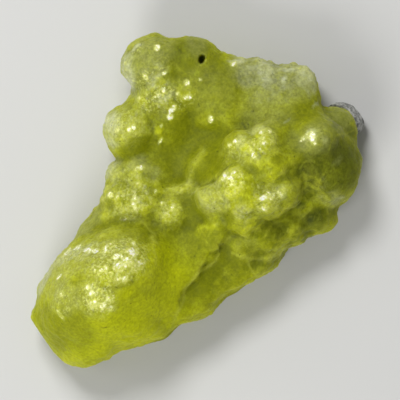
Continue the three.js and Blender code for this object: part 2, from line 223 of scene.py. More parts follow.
def turned(x, y, degrees=0):
    """x and y on axes turned by so many degrees."""
    a = math.radians(degrees)
    c, s = math.cos(a), math.sin(a)
    return c * x + s * y, c * y - s * x


def ellipsoid(p, x, y, z, rx, ry, rz, turn=0):
    u, v = turned(p[0] - x, p[1] - y, turn)
    u, v, w = u / rx, v / ry, (p[2] - z) / rz
    scaled = np.sqrt(u * u + v * v + w * w)
    slope = np.sqrt((u / rx) ** 2 + (v / ry) ** 2 + (w / rz) ** 2)
    return scaled * (scaled - 1) / np.maximum(slope, LEAST)


def rounded_box(p, at, half, turn, tip, rounding):
    u, across = turned(p[0] - at[0], p[1] - at[1], turn)
    v, w = turned(across, p[2] - at[2], -tip)
    q = [abs(value) - reach + rounding for value, reach in zip((u, v, w), half)]
    outside = np.sqrt(sum(np.maximum(value, 0) ** 2 for value in q))
    return outside + np.minimum(np.maximum(np.maximum(q[0], q[1]), q[2]), 0) - rounding


def join(a, b, width):
    """Both bodies as one, melted together where they meet."""
    overlap = np.maximum(width - abs(a - b), 0) / width
    return np.minimum(a, b) - overlap * overlap * width / 4


def carve(body, tool, width):
    return -join(-body, tool, width)


def bent(p):
    """The points moved by slow waves, so that no mass or lobe is a true ellipsoid."""
    def shift(waves):
        return sum(reach * np.sin(along[0] * p[0] + along[1] * p[1] + along[2] * p[2] + phase)
                   for reach, along, phase in waves)
    return p[0] + shift(BENDS_X), p[1] + shift(BENDS_Y), p[2]


def past_contact(p):
    """How far each point is past the slanted contact with the matrix."""
    tilt = math.radians(JOIN_TILT)
    return p[0] * math.cos(tilt) - p[2] * math.sin(tilt) - JOIN_REACH


def crust_field(p):
    q = bent(p)
    d = rounded_box(q, *SLAB)
    for mass in MASSES:
        d = join(d, ellipsoid(q, *mass), MASS_BLEND)
    xs, ys = zip(*BREAK_LINE)
    broken_side = np.interp(q[0], xs, ys)
    d = carve(d, q[1] - broken_side - BREAK_LEAN * q[2], BREAK_BLEND)
    for *shape, blend in HOLLOWS.values():
        d = carve(d, ellipsoid(q, *shape), blend)
    ragged = q[1]
    for reach, pitch, phase in STEP_WAVES:
        ragged = ragged + reach * np.sin(pitch * q[0] + phase)
    d = carve(d, rounded_box((q[0], ragged, q[2]), *STEP), STEP_BLEND)
    softly = d
    for lobe in LOBES:
        bulge = ellipsoid(q, *lobe)
        d = join(d, bulge, LOBE_BLEND)
        softly = join(softly, bulge, SOFT_BLEND)
    d = d + SOFT_SHARE * (softly - d)
    d = carve(d, ellipsoid(p, *PIT), PIT_BLEND)
    return np.maximum(np.maximum(d, past_contact(p)), -p[2])


def nodule_field(p):
    d = join(ellipsoid(p, *NODULE), ellipsoid(p, *NODULE_KNOB), LOBE_BLEND)
    return np.maximum(np.maximum(d, JOIN_GAP - past_contact(p)), -p[2])


# ------------ a closed mesh from a field

CORNERS = [(b & 1, b >> 1 & 1, b >> 2 & 1) for b in range(8)]
EDGES = [(a, a | bit) for a in range(8) for bit in (1, 2, 4) if not a & bit]


def connected(chosen):
    """Whether the chosen corners of a cell hang together along its edges."""
    reached = chosen[:1]
    for corner in reached:
        reached += [corner ^ bit for bit in (1, 2, 4) if corner ^ bit in set(chosen) - set(reached)]
    return len(reached) == len(chosen)


def is_split(code):
    """Whether a cell's inner or outer corners fall apart, so one vertex can't serve it."""
    inside = [corner for corner in range(8) if code >> corner & 1]
    outside = [corner for corner in range(8) if corner not in inside]
    return not (connected(inside) and connected(outside))


SPLIT = np.array([is_split(code) for code in range(256)])


def surface(field, low, high, cell):
    """The field's zero surface: a vertex in each cell that it crosses, a quad for each crossed edge."""
    axes = [np.arange(lo, hi + cell, cell, dtype=np.float32) for lo, hi in zip(low, high)]
    values = field(np.meshgrid(*axes, indexing="ij", sparse=True)).astype(np.float32)
    shape = np.array(values.shape)

    def corner_view(array, corner):
        return array[tuple(slice(c, n - 1 + c) for c, n in zip(CORNERS[corner], shape))]

    while True:
        inside = values < 0
        code = sum(corner_view(inside, corner).astype(np.uint8) << corner for corner in range(8))
        split = SPLIT[code]
        if not split.any():
            break
        for corner in range(8):
            view = corner_view(values, corner)
            view[split] = np.minimum(view[split], -SPLIT_FILL * cell)

    active = np.argwhere((code > 0) & (code < 255))
    corners = [values[tuple((active + CORNERS[corner]).T)] for corner in range(8)]
    total = np.zeros((len(active), 3))
    count = np.zeros(len(active))
    for a, b in EDGES:
        crossed = (corners[a] < 0) != (corners[b] < 0)
        t = np.where(crossed, corners[a] / np.where(crossed, corners[a] - corners[b], 1), 0)
        start, step = np.array(CORNERS[a]), np.subtract(CORNERS[b], CORNERS[a])
        total += crossed[:, None] * (start + t[:, None] * step)
        count += crossed
    verts = np.array(low) + (active + total / count[:, None]) * cell

    number = np.full(values.shape, -1, np.int64)
    number[tuple(active.T)] = np.arange(len(active))
    quads = []
    for axis in range(3):
        u, v = np.eye(3, dtype=int)[[(axis + 1) % 3, (axis + 2) % 3]]
        span = tuple(slice(0, n - 1 if k == axis else n) for k, n in enumerate(shape))
        beyond = tuple(slice(1, n) if k == axis else slice(0, n) for k, n in enumerate(shape))
        first, second = inside[span], inside[beyond]
        for leaving in (True, False):
            at = np.argwhere((first == leaving) & (second != leaving))
            ring = [number[tuple((at - offset).T)] for offset in (u + v, v, 0 * u, u)]
            quads.append(np.stack(ring if leaving else ring[::-1], axis=1))
    return verts, np.concatenate(quads)


def gathered(where, rows, size):
    """The sum of the rows that go to each place."""
    return np.stack([np.bincount(where, column, size) for column in rows.T], axis=1)


def vertex_normals(verts, quads):
    a, b, c, d = (verts[quads[:, k]] for k in range(4))
    across = np.cross(c - a, d - b)
    normals = sum(gathered(quads[:, k], across, len(verts)) for k in range(4))
    return normals / np.maximum(np.linalg.norm(normals, axis=1, keepdims=True), LEAST)


def neighbour_mean(rows, quads):
    """The mean of each vertex's ring of neighbours."""
    counted = np.column_stack([rows, np.ones(len(rows))])
    total = sum(gathered(quads[:, k], counted[quads[:, (k + turn) % 4]], len(rows))
                for k in range(4) for turn in (1, 3))
    return total[:, :-1] / total[:, -1:]


# ------------ noise

# odd numbers that scramble whole ones
ODD = [np.uint32(number) for number in (374761393, 668265263, 2246822519, 1274126177)]
SEED_STRIDE = 97531
SEED_START = 17
SHIFTS = (13, 15, 16)
LOW_BITS = 0xFFFFFF
ORIGIN = 1000  # cells to the lattice's origin, far from the specimen
FAR = 9.0  # more than any distance kept


def lattice(i, j, k, seed):
    """A random number from 0 to 1 for each whole-numbered place."""
    n = (i.astype(np.uint32) * ODD[0] + j.astype(np.uint32) * ODD[1] + k.astype(np.uint32) * ODD[2]
         + np.uint32(seed * SEED_STRIDE + SEED_START))
    n = (n ^ (n >> np.uint32(SHIFTS[0]))) * ODD[3]
    n = (n ^ (n >> np.uint32(SHIFTS[1]))) * ODD[2]
    return ((n ^ (n >> np.uint32(SHIFTS[2]))) & np.uint32(LOW_BITS)).astype(float) / LOW_BITS


def eased(t):
    return t * t * (3 - 2 * t)


def smooth(value, start, end):
    """0 up to the start, 1 from the end on, smooth between them."""
    return eased(np.clip((value - start) / (end - start), 0, 1))


def noise(p, size, seed):
    """Smooth noise from -1 to 1 with lumps of about that size."""
    q = p / size + ORIGIN
    base = np.floor(q).astype(np.int64)
    t = eased(q - base)
    total = 0
    for a, b, c in np.ndindex(2, 2, 2):
        weight = abs(1 - a - t[:, 0]) * abs(1 - b - t[:, 1]) * abs(1 - c - t[:, 2])
        total = total + weight * lattice(base[:, 0] + a, base[:, 1] + b, base[:, 2] + c, seed)
    return 2 * total - 1


def layers(p, table):
    """Noise of several rises, sizes and seeds, added up."""
    return sum(rise * noise(p, size, seed) for rise, size, seed in table)


def cells(p, size, seed):
    """Distances to the two nearest cell centres, in cell sizes, and the nearest one's random number."""
    q = p / size + ORIGIN
    base = np.floor(q).astype(np.int64)
    nearest = np.full(len(p), FAR)
    second = np.full(len(p), FAR)
    mark = np.zeros(len(p))
    for step in np.ndindex(3, 3, 3):
        at = [base[:, axis] + step[axis] - 1 for axis in range(3)]
        centre = np.stack([at[axis] + lattice(*at, seed + axis) for axis in range(3)], axis=1)
        distance = np.linalg.norm(q - centre, axis=1)
        closer = distance < nearest
        second = np.where(closer, nearest, np.minimum(second, distance))
        mark = np.where(closer, lattice(*at, seed + 3), mark)
        nearest = np.minimum(nearest, distance)
    return nearest, second, mark


def wandering(p, size, reach, seed):
    """The points pushed about by noise."""
    shift = [noise(p, size, seed + axis) for axis in range(3)]
    return p + reach * np.stack(shift, axis=1)


# ------------ marks on the crust

# Ovals in plan: x, y, rx, ry, strength, and the turn in degrees where there is one.
GLINTS = [  # white flashes of cleavage and druse, painted into the colour as highlights; the coat adds real gloss there
    (-22.8, -0.9, 1, 0.35, 1, 15), (-20.8, -1.2, 0.8, 0.3, 1), (-19.6, -2.6, 0.8, 0.5, 1, -35),
    (-18.5, -3.4, 0.7, 0.4, 1, -20), (-26.6, -3.7, 0.7, 0.3, 1, 15), (-17, -4.3, 0.5, 0.5, 1),
    (-16, -4, 0.9, 0.3, 0.8, -10), (-15.8, -6.3, 0.6, 0.5, 1), (-13, -7.3, 1.2, 0.8, 1, -40),
    (-11.9, -6.2, 0.4, 0.6, 0.9), (-18.9, -7.1, 0.9, 0.5, 1), (-16.6, -8.3, 0.8, 1, 0.9),
    (-16.9, -10.7, 0.7, 0.7, 0.9), (-13.5, -9.8, 1.8, 0.9, 0.7), (-14.8, -8.3, 1.2, 1, 0.8),
    (-17.8, -10, 0.8, 0.6, 0.7), (-23, -8.4, 0.5, 0.6, 1), (-23.2, -9.6, 0.6, 0.5, 1),
    (-24, -11.3, 1, 0.7, 0.8), (-22.8, -12.4, 1.2, 0.6, 0.8), (-20.8, -12.2, 0.9, 0.7, 0.7),
    (-21.8, -13.7, 0.8, 0.5, 0.6), (-27.9, -6.8, 0.4, 0.5, 0.8), (-30, -9.8, 0.35, 1.2, 0.6),
    (-10.7, 3.4, 0.6, 0.5, 1), (-9.8, 2.4, 0.4, 0.4, 0.7), (-8.2, -0.7, 0.45, 1.3, 0.8, -10),
    (-7.2, 0.6, 0.45, 0.8, 0.75), (-9.9, -1.9, 1.2, 0.35, 0.6, -35), (-3.6, 4.6, 1, 0.45, 0.9, -10),
    (-6, 5.9, 0.35, 0.35, 0.6), (-6.6, 1.7, 0.4, 0.35, 0.6), (-2.4, -4.5, 0.7, 0.35, 0.8, 35),
    (-4, -4.8, 0.6, 0.3, 0.55), (-3.6, -2.8, 0.4, 0.3, 0.75), (-3.6, -0.4, 0.35, 0.3, 0.8),
    (-3.6, -5.6, 0.5, 0.4, 0.45), (-1.4, 11.4, 0.45, 0.5, 1), (-0.5, 11.3, 0.4, 0.4, 1),
    (-3.4, 12.6, 0.7, 0.4, 0.6), (10.9, 21.2, 0.7, 0.6, 1), (6.1, 17.8, 0.4, 0.7, 1),
    (9.4, 16.4, 0.5, 0.4, 1), (4.4, 22, 0.35, 0.35, 0.6), (8.7, 18.2, 0.4, 0.35, 0.5),
    (11.8, 12.9, 0.55, 0.6, 1), (10.4, 10.7, 0.9, 0.5, 1, -30), (7.2, 10.3, 1, 0.5, 1, 15),
    (6, 9.4, 0.6, 0.6, 1), (9.5, 12.1, 0.4, 0.4, 0.8), (14.2, 12, 0.35, 0.35, 0.7),
    (7.5, 13.9, 0.4, 0.4, 0.8), (6.2, 14, 0.6, 0.3, 0.6), (3.3, 15.2, 0.35, 0.4, 0.7),
    (4.7, 15.2, 0.3, 0.3, 0.7), (2.2, 6.9, 0.7, 0.3, 0.7, 30), (3.8, 9, 0.35, 0.3, 0.7),
    (11.9, 5.1, 0.5, 0.7, 1, -20), (12.2, -0.7, 0.5, 0.4, 0.9), (13.4, -0.6, 0.5, 0.4, 0.85, 30),
    (14.6, -0.9, 0.5, 0.5, 0.4), (14.9, -3.8, 0.4, 1.3, 0.9), (14.6, -4.7, 0.4, 0.4, 0.9),
    (18.2, -2, 0.45, 0.35, 1), (19.6, -2.6, 0.4, 0.4, 0.6), (17.6, -3.4, 0.8, 0.9, 0.6),
    (8.6, -4.9, 0.35, 0.8, 1), (9.1, -5.9, 0.4, 0.7, 1), (8.7, -6.8, 0.5, 0.5, 0.8),
    (10, -5.3, 0.6, 0.25, 0.8), (8, -5.2, 0.4, 0.4, 0.7), (10.3, -7.6, 0.6, 0.3, 0.9, -30),
    (9.6, -8.1, 0.4, 0.3, 0.7), (12.1, -12, 1, 0.5, 1, -10), (13.3, -11.7, 0.35, 0.5, 0.8),
    (12.5, -9.9, 0.35, 0.35, 0.7), (11, -13.6, 0.4, 0.6, 0.9), (11.3, -14.3, 0.3, 0.4, 0.7),
    (15, -13.1, 0.4, 0.9, 0.85), (13.2, -12.6, 1, 0.6, 0.6), (25.5, -7.5, 0.7, 1.1, 1, -20),
    (24.6, -6.8, 1.2, 0.6, 0.6, -10), (25.2, -8.6, 0.6, 0.5, 0.8), (23.6, -6.9, 0.6, 0.35, 0.6),
    (20.8, 11.3, 0.6, 0.4, 1),
]
SPARKLES = [  # druse with many small flashes: the flecks are painted highlights, the coat adds real gloss
    (-16, -7.4, 5.4, 3.9, 1, -8), (-22.6, -11, 2.8, 3.2, 1, 20), (-21, -2.2, 4.2, 1.2, 0.8, -12),
    (-27.6, -7.6, 2.4, 3, 0.5, -20), (-8, 0.4, 3.6, 3.4, 0.6), (-3.2, -4.6, 1.8, 1.8, 0.7),
    (-1.8, 12.6, 2.6, 2.2, 0.5, 20), (7, 17.4, 3.6, 1.8, 0.5), (6, 13.6, 3.4, 2, 0.7),
    (9, 10.6, 3.2, 1.4, 0.6), (13, -1.2, 2.2, 1.2, 0.6), (16.6, -3.2, 3.2, 1.8, 0.6),
    (9.4, -6.4, 2.2, 2.2, 0.7), (12.8, -12.6, 3, 1.8, 0.8), (25.4, -7.8, 2.2, 1.8, 0.25),
    (7.4, 22.8, 1.6, 0.8, 0.5), (4, 20, 0.9, 3, 0.4), (27, 4.2, 1.6, 1, 0.3),
]
HAZE = [  # milky yellow
    (-8.6, 2.4, 5, 4.6, 0.7, -20), (-3.2, -4.8, 3.2, 2.6, 0.6), (-1.2, 12.2, 4.2, 3.2, 0.7),
    (5.4, 13.6, 3.6, 3, 0.6), (8.2, 20.2, 5, 3.8, 0.4), (-16.4, -7, 6.2, 4.8, 0.6, -5),
    (-22.8, -10.4, 3.4, 3.8, 0.6), (-22.4, -3, 6.2, 2.4, 0.6, -5), (15, -2.8, 5, 2.8, 0.6, -15),
    (9.4, -6.8, 3.8, 3, 0.6), (5, -7.4, 2.2, 2.6, 0.6), (13.2, -12.4, 4.4, 2.8, 0.6),
    (7.2, -12, 1.8, 1.8, 0.7), (0.6, -2.6, 2.8, 0.7, 0.7, -12), (2.2, -4.2, 0.9, 1.2, 0.6),
    (-2.6, 2.4, 2.4, 1.8, 0.5), (25.4, -7.4, 3.2, 2.4, 0.3), (21.3, -17.4, 0.6, 2.4, 0.5, -5),
    (4.6, -17.6, 1.8, 2.2, 0.4, 30), (8.6, -21.4, 2.4, 0.5, 0.5, 10), (9.4, -7, 3.2, 2.8, 1),
    (17.8, -2.8, 2.4, 2.2, 1), (13, -3.4, 1.6, 2.4, 0.7), (14.6, -12.4, 2.4, 2.2, 0.9),
    (5, -7.8, 2.4, 2.4, 0.9), (14.2, -1.4, 1.8, 1.2, 1), (7.4, -11.9, 1.7, 1.7, 1),
    (6, -5.2, 2.6, 0.7, 0.8), (2, -4, 1, 1.6, 0.8), (6.5, 13, 4.5, 2.6, 0.7), (-1.8, 12.4, 3.8, 3.4, 0.9),
    (25.4, -7.6, 2.2, 1.8, 0.4),
]
PALE = [  # whitish grey; partly the crust's own colour, partly painted sheen on the upper left of the cheek and the dome
    (25.6, 6, 7, 3.6, 1, -38), (21.8, 9, 2.2, 3.4, 0.9), (30.2, 2.4, 2, 3, 0.9),
    (25, 2.8, 6, 3.2, 0.6, -20), (4.3, 20.6, 1.3, 3.8, 1, -20), (7.2, 16.6, 3, 1, 0.5),
    (7.2, 12.8, 1.6, 0.8, 0.6), (-3.8, 14.2, 1.8, 2.2, 1), (-5.2, 11.4, 0.8, 1.8, 0.5),
    (-28.2, -2.4, 4, 0.9, 0.5, 32), (-27.6, -7.4, 2.6, 3.2, 0.35), (27.4, -9, 1.8, 2, 0.4),
    (22.8, -19.2, 1.4, 1.2, 0.6), (-7.6, 6.6, 2.4, 1.3, 0.7, 35), (4.4, -7, 2.4, 2.8, 0.6),
    (-3.4, 5.4, 2.2, 1.3, 0.6, -20), (-2.2, 2.6, 1.5, 1.2, 0.6), (-17, 1.2, 3.4, 1.4, 0.35, 10),
    (31.2, -7.6, 2.2, 3, 0.35), (17, 17.6, 1.8, 2, 0.35), (7.4, -12, 1.2, 1.4, 0.4),
    (24.6, -6.6, 2, 0.8, 0.5), (8, 20.6, 4.8, 3.6, 0.5), (7.6, 17, 2.8, 1.1, 0.5),
    (7.2, 23.2, 1.6, 0.7, 0.85), (6.8, 12.9, 1.6, 0.8, 0.4), (21, 1, 5, 4, 0.35),
    (15, 9, 4.4, 4.4, 0.2), (26.2, -8.2, 3.6, 2.8, 0.45), (22.4, -6, 1.6, 1.6, 0.2),
    (27, -13.8, 1.6, 0.6, 0.3, 20), (15.2, 13, 3, 2, 0.25),
]
FROST = [  # white; partly the dry crust's own colour, partly painted highlights on the cheek, the dome and the right lobe
    (21.6, 11.3, 1.5, 0.5, 0.9, -35), (24.9, 7.4, 1.2, 2.2, 0.7, -10), (28.1, 5.2, 1.4, 0.4, 0.9, -38),
    (27, 4, 0.6, 0.5, 0.9), (30.8, 2.6, 1.3, 2.2, 0.65, 10), (29.2, 1, 0.5, 2, 0.4, 10),
    (3.9, 20.9, 1.5, 3.6, 0.95, -18), (3.2, 18.3, 0.5, 1.3, 0.9), (-3.7, 14.4, 1.8, 1.6, 0.9, 30),
    (-5.6, 11.8, 0.5, 1.6, 0.5, 10), (-28.4, -2.4, 3.4, 0.5, 0.65, 32), (7.5, 23.2, 1.2, 0.4, 0.9),
    (7.6, 16.5, 2.2, 0.5, 0.9, 10), (6.8, 12.9, 1.3, 0.5, 0.9), (9.2, 17.8, 0.6, 1.2, 0.5),
    (25.2, -6.8, 1.7, 0.6, 0.6), (-22.8, -1.6, 3.4, 0.7, 0.4), (17.4, -1.2, 1.4, 0.5, 0.4),
    (26.6, 3.4, 0.15, 1, 0.6, -30), (23.8, 5.8, 0.2, 1.4, 0.5, -30), (29.2, -3.2, 0.8, 0.35, 0.6, 20),
    (23.4, 8.6, 1.6, 0.4, 0.5, -35), (30.6, -0.4, 0.4, 1, 0.5, -20), (23, -2.6, 1, 0.15, 0.4, 20),
    (14.4, -1, 1.2, 0.5, 0.5), (15.2, -12.8, 0.7, 1.6, 0.4, 10), (23.4, -19.4, 1.2, 0.6, 0.3, -30),
    (-10.6, 3.6, 1, 0.6, 0.4), (27.4, -9.2, 0.7, 0.8, 0.3), (25.6, -7.6, 1.1, 1.1, 0.5),
    (-8.2, 7, 1.8, 0.6, 0.5, 35),
]
OLIVE = [  # smooth olive green; partly the crust's own colour, partly painted shade under the cheek and in recesses
    (5.6, 4.4, 6.4, 4.2, 0.75, 18), (10.4, 2.6, 3.2, 4.4, 0.8), (2.2, 0, 2.8, 2.2, 0.8),
    (6.8, -2, 3.7, 2, 1, 8), (-1.4, 7.9, 4.2, 1.7, 0.8, -8), (0.8, -7, 1.9, 3.5, 1),
    (-1.8, -9, 1.8, 1.2, 1), (-14.2, -0.4, 4.2, 1.3, 0.8, -18), (-10.4, -3.4, 2.6, 2, 0.6, -42),
    (-11.8, 2, 1, 1, 0.8), (-8.8, -6.4, 1.6, 1.8, 0.8), (-3.4, -11.6, 2.4, 2.6, 0.5),
    (-4.6, -18.6, 5, 2.1, 1, 15), (-8.4, -19.6, 3, 1.6, 0.6, 20), (1.2, -17.6, 1.6, 3, 1),
    (4.6, -20.9, 1.9, 1.2, 0.9), (14, 17.4, 2.6, 3.2, 0.9), (12, 15, 2.6, 1.8, 0.6),
    (17.2, 17.6, 2.2, 2.6, 0.8), (16.6, 10, 3, 3.4, 0.5), (13.2, -6.3, 0.9, 1.7, 0.9, 40),
    (18.2, -7.4, 1.4, 1.2, 0.8), (5.2, -11.4, 1, 1.6, 0.9, -30), (-32.6, -9.6, 1.8, 3, 0.7),
    (-28.4, -11.6, 3, 1.2, 0.5), (16, -14.6, 2, 0.8, 0.4), (-32, -13, 2.6, 4, 0.5),
    (-13.6, 2.4, 2.6, 0.8, 0.7, 12), (-9.6, 6.8, 1.4, 1, 0.6, 40), (-0.6, -12.8, 2.6, 1.6, 0.7),
    (3.8, -17.2, 1.4, 2.4, 0.6), (12.4, 10.4, 1.4, 1.2, 0.4), (13.6, 0.4, 1.4, 1, 0.6),
    (8.6, 14.6, 1.2, 0.8, 0.4), (-25, -9.6, 0.8, 2, 0.5), (14.6, 7.2, 4.6, 3.2, 0.45),
    (12.2, 17.2, 1.6, 2.2, 0.4), (11, -18.6, 5.2, 2.6, 0.6), (18, -20.2, 3.6, 2.6, 0.7),
    (3.2, -19, 3.6, 2.6, 0.9), (-29.6, -13.6, 3.2, 4, 0.6), (-33, -12, 1.6, 4, 0.8),
    (-4.4, -12.6, 3, 2.6, 0.3), (18.8, 11.6, 1.3, 3.4, 0.7, 10), (0, -21.3, 6.4, 1.7, 0.55),
    (30.9, -7.2, 2.4, 3.8, 0.9), (27.6, -6.6, 2, 3.4, 0.4), (7.4, 12, 5.2, 3.4, 0.5),
    (7.4, 20, 3.6, 3.4, 0.35), (25.4, -8, 3, 2.4, 0.3), (10.6, -21.6, 4, 1.2, 0.6),
    (19.4, -10.6, 1.6, 1.8, 0.4), (23.6, -4.6, 3.4, 1.6, 0.4), (25.4, -2.4, 4.4, 1.6, 0.5),
    (-17.6, 1, 3.4, 1.4, 0.6, 10), (6.4, -10.6, 1.2, 1, 0.4),
]
DARK = [  # dark green; partly the lobes' own colour, partly painted shade on the lower right lobes that face away from the light
    (25.6, -14.6, 6.2, 5.2, 0.85, 10), (21.8, -12.8, 2.4, 3.2, 0.95), (17.8, -20.2, 2.3, 1.7, 1),
    (17, -16.5, 1, 0.8, 1), (11.2, -18.4, 2.2, 1.2, 0.55), (14.6, -20.6, 1.4, 1, 0.6),
    (16, -18.6, 1.6, 0.8, 0.5), (30.2, -8, 0.45, 0.9, 0.9), (19.6, -14.4, 1.4, 1.8, 0.7),
    (32, -10.4, 0.8, 0.8, 0.6), (5, -21.4, 1.9, 1.4, 0.35, -25), (13.9, 18.5, 0.3, 0.8, 0.8),
    (20.6, 8.7, 0.35, 0.6, 0.8), (20.9, 10.2, 0.5, 0.3, 0.4), (21.1, 4.7, 0.45, 0.2, 0.9, -50),
    (16.2, 0.8, 0.2, 0.8, 0.6, 20), (28.2, 3, 0.25, 0.35, 0.8), (23.2, 4.7, 0.3, 0.2, 0.5),
    (30.3, 2.8, 0.2, 0.3, 0.5), (22, 7.6, 0.3, 0.2, 0.4, 30), (13, -21.4, 1.6, 0.8, 0.6),
    (22.6, -10.4, 1.6, 0.8, 0.6), (15.2, 17.4, 3.4, 3, 0.35), (22.8, -16.4, 1.6, 2.6, 0.8),
    (9.4, -22.4, 2.6, 0.6, 0.5, 10), (15.6, -22, 3, 0.8, 0.6),
    (26.4, -6.4, 3, 1.4, 0.3), (22.6, -7.8, 1.8, 2, 0.4), (31.4, -6.8, 1.8, 2.8, 0.35),
    (29, -9.4, 2, 1.4, 0.3), (7.8, 19.8, 5.4, 4.6, 0.32), (6.4, 13.4, 4.2, 2.8, 0.3),
    (-1.6, 11.8, 4.4, 4, 0.16), (25.4, -7.4, 2.6, 2, 0.3), (-8.6, 2, 4.6, 3.6, 0.16, -20),
]
GOLD = [  # bright saturated yellow, lit from within
    (-20, -17.8, 13.5, 3.8, 0.9, -6), (-10, -13.2, 5.2, 5, 0.9, -30), (10, -8.6, 3.4, 3, 1),
    (8, -7.2, 1, 1, 1), (10.4, -11.4, 1.6, 0.6, 1), (17.5, -3.2, 1.3, 1.7, 1), (14.2, -2.5, 0.9, 0.7, 0.9),
    (16.8, -9.2, 2.8, 0.9, 0.9, 10), (2.9, 8.8, 0.7, 0.7, 1), (-9, 1.2, 1.4, 1.2, 0.6),
    (1.8, -11, 1.5, 1.2, 0.6), (-18, -12.8, 3, 1.2, 0.8), (-19.4, -8.6, 1.6, 1.4, 0.6),
    (-3.4, -5.6, 0.8, 0.8, 0.7), (-16.4, -8.8, 1.4, 1.4, 0.5), (6.4, -15.4, 2.4, 0.6, 0.5, 10),
    (19, -17.6, 2.4, 0.5, 0.6, -30), (21.4, -4.6, 1.2, 1, 0.4), (-24.6, -20, 5, 1.2, 0.6),
]

EDGE_SOFT = 0.45  # how soft an oval's edge is, in shares of the oval
EDGE_RAGGED = 0.5  # how far noise pushes it about
EDGE_LUMPS = 1.6
EDGE_SEED = 41
# each mark's ovals, and how soft and ragged their edges are where that differs
ZONES = {
    "pale": (PALE,), "olive": (OLIVE, 0.32), "dark": (DARK,), "gold": (GOLD,), "haze": (HAZE,),
    "sparkle": (SPARKLES,), "frost": (FROST,), "glint": (GLINTS, 0.5, 0.15),
}
# what a mark keeps at the foot of the walls, and the heights over which it rises to all
RISES = {"pale": (0.3, 3, 8), "frost": (0.2, 4, 9.5), "glint": (0, 5, 9)}


def zone(p, ovals, soft=EDGE_SOFT, ragged=EDGE_RAGGED):
    """How far each point is in the ovals, which are drawn as seen at the widest outline's height."""
    middle_x, middle_y, level = LOOK_AT
    spread = CAMERA_HEIGHT / (CAMERA_HEIGHT + level - p[:, 2])
    seen_x = middle_x + (p[:, 0] - middle_x) * spread + ragged * noise(p, EDGE_LUMPS, EDGE_SEED)
    seen_y = middle_y + (p[:, 1] - middle_y) * spread + ragged * noise(p, EDGE_LUMPS, EDGE_SEED + 1)
    total = np.zeros(len(p))
    for x, y, rx, ry, strength, *turn in ovals:
        u, v = turned(seen_x - x, seen_y - y, *turn)
        inside = 1 - smooth(np.hypot(u / rx, v / ry), 1 - soft, 1 + soft)
        total = np.maximum(total, strength * inside)
    return total


def front_marks(p, front):
    """How strong each mark is at each point of the front."""
    marks = {name: zone(p, *ovals) * front for name, ovals in ZONES.items()}
    for name, (least, low, high) in RISES.items():
        marks[name] *= least + (1 - least) * smooth(p[:, 2], low, high)
    return marks


# ------------ the crust's relief

# ovals in plan, as above
BUDDED = [  # where small buds crowd
    (-9, 0.8, 8.5, 5, 1, -25), (-4, -4.8, 3.6, 3, 1), (7, 12.6, 6.4, 4, 1, 15), (3, 7.6, 2.4, 2, 1),
    (12, -7.5, 9.5, 7, 1), (12, -17, 12.5, 6.5, 1, 8), (1.5, -11.5, 3.5, 3, 1), (12.4, 4.6, 2.6, 2, 1),
]
RUGGED = [  # rough broken or weathered ground
    (-17.5, -7.5, 8.5, 6.5, 1, -10), (-12, -22.2, 22, 3, 1, -4), (26, 5, 7.5, 6, 1, -38),
    (10, -22.4, 12, 2.5, 1),
]
RAGGED_EDGE = [  # where the steep sides are broken rather than grown
    (26, 6.6, 8.5, 4, 1, -40), (-8, -22.6, 14, 2.6, 0.5), (14, -22, 8, 2, 0.3), (31, -1, 2, 4, 0.8),
    (-22, -22, 11, 2, 0.5, 6),
]
# Lines in plan: a strength, then x and y of each point.
LEDGES = [  # thin steps in the surface
    (1, 0.4, -13.6, 0, -16, -1.5, -16.9, -5.2, -16.6, -8.6, -17.8, -14, -22.2),
    (1, 2, -17, 3.4, -19, 5.2, -20.2, 8, -22, 10.2, -21.7), (1, 3, -22.4, 3.1, -21, 3.7, -20, 5, -19.9),
    (1, 0.6, -13.6, 1, -14.7, 2.2, -14.8, 3.4, -14.4), (1, 2, -17.2, 2.8, -18.2, 3, -19),
    (1, -8.4, -3.6, -7.9, -6.4, -10.4, -11.4), (1, -6.2, -2, -3, -3.2, 0.4, -2.6, 3.2, -3.4),
]
RIMS = [  # thin, where botryoids meet; their brightness is a painted glow of light through the thin walls
    (1, 19, -13.2, 20.2, -14.2, 20.9, -15.8, 21.6, -17.2, 21.9, -18.6),
    (0.7, 20.3, -11, 21.4, -10.6, 22.6, -10.9, 23.2, -11.6),
    (1, 17.9, -15.6, 18.3, -16.6, 19.4, -17.6, 20.6, -18.3, 21.6, -19.6),
    (0.6, 15.9, -16.4, 16.4, -15.6, 17.4, -15.3, 18.1, -15.8),
    (0.9, 14.2, -19.9, 15.4, -18.9, 16.6, -18.5, 17.8, -18.2, 18.6, -17.4),
    (0.8, 8.8, -17.9, 9.6, -17.2, 11.6, -16.9, 13.4, -17.3, 14.2, -18.3, 13.8, -19.4, 12.4, -20.3,
     10.6, -20.9, 8.6, -20.6), (0.7, 14.8, -17, 15.6, -17.8, 16.5, -18.5),
    (0.6, 12.2, -20.6, 12.9, -21.4, 13.4, -22.3), (0.5, 16, -20.4, 16.2, -21.4, 17, -22.2),
    (0.8, 20.2, -20.6, 20.6, -19.6, 21.8, -19.9), (0.7, 13, -8.4, 14.6, -9.6, 16.8, -9.8, 18.8, -9),
    (0.7, 19.2, -3.6, 18.6, -5.4, 18.9, -7, 20.4, -8.4),
    (0.6, 27.6, -7.6, 28.6, -8.8, 27.8, -10.2, 26.6, -11.2), (0.5, 29.6, -4.4, 28.8, -6.2, 29.6, -7.4),
    (0.7, 29.2, -9.6, 30.6, -10.4, 32.2, -10.6),
]
RIDGES = [  # soft, the strength is the rise
    (0.3, -1.6, -1.6, 0.5, -2.6, 2.4, -2.6, 3.6, -1.4, 5.2, 0.2, 8, 1.4),
    (0.2, 2.6, -4, 2.4, -6.6, 2, -9.4),
]
